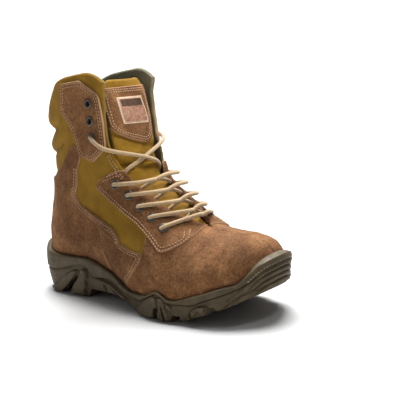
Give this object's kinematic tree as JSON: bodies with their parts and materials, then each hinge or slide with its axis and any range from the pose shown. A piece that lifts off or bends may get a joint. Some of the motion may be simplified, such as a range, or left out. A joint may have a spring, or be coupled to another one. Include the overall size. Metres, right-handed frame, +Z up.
{
  "type": "combat boot",
  "caption": "Right lace-up combat boot: suede and fabric upper with padded collar, tongue and side zip, on a lugged rubber sole.",
  "frame": {"origin": "on the floor, under the middle of the boot's bounding box", "axes": "+X towards the toe, +Y towards the wearer's left (the boot's medial side), +Z up"},
  "size_m": [0.3021, 0.1173, 0.2378],
  "materials": {
    "brown_suede": "matte brown suede, slightly scuffed",
    "mustard_fabric": "matte mustard-olive woven fabric",
    "olive_rubber": "matte olive-khaki rubber",
    "grey_lining": "soft dark grey-olive lining",
    "tan_cord": "round braided tan cord",
    "gunmetal": "dark gunmetal, satin",
    "black_zip": "black zip tape and moulded teeth"
  },
  "bodies": {
    "root": {"eyelet_lateral_1": "gunmetal", "eyelet_lateral_2": "gunmetal", "eyelet_lateral_3": "gunmetal", "eyelet_lateral_4": "gunmetal", "eyelet_lateral_5": "gunmetal", "eyelet_lateral_6": "gunmetal", "eyelet_lateral_7": "gunmetal", "eyelet_lateral_8": "gunmetal", "eyelet_medial_1": "gunmetal", "eyelet_medial_2": "gunmetal", "eyelet_medial_3": "gunmetal", "eyelet_medial_4": "gunmetal", "eyelet_medial_5": "gunmetal", "eyelet_medial_6": "gunmetal", "eyelet_medial_7": "gunmetal", "eyelet_medial_8": "gunmetal", "heel_quarter_lateral": "brown_suede", "heel_quarter_medial": "brown_suede", "insole": "grey_lining", "lace": "tan_cord", "lower_eyestay_lateral": "brown_suede", "lower_eyestay_medial": "brown_suede", "outsole": "olive_rubber", "tongue": "mustard_fabric", "tongue_label": "brown_suede", "tongue_patch": "brown_suede", "upper": "mustard_fabric", "upper_eyestay_lateral": "brown_suede", "upper_eyestay_medial": "brown_suede", "vamp": "brown_suede", "zip_chain": "black_zip", "zip_guard": "brown_suede", "zip_tape": "black_zip"}
  },
  "joints": []
}
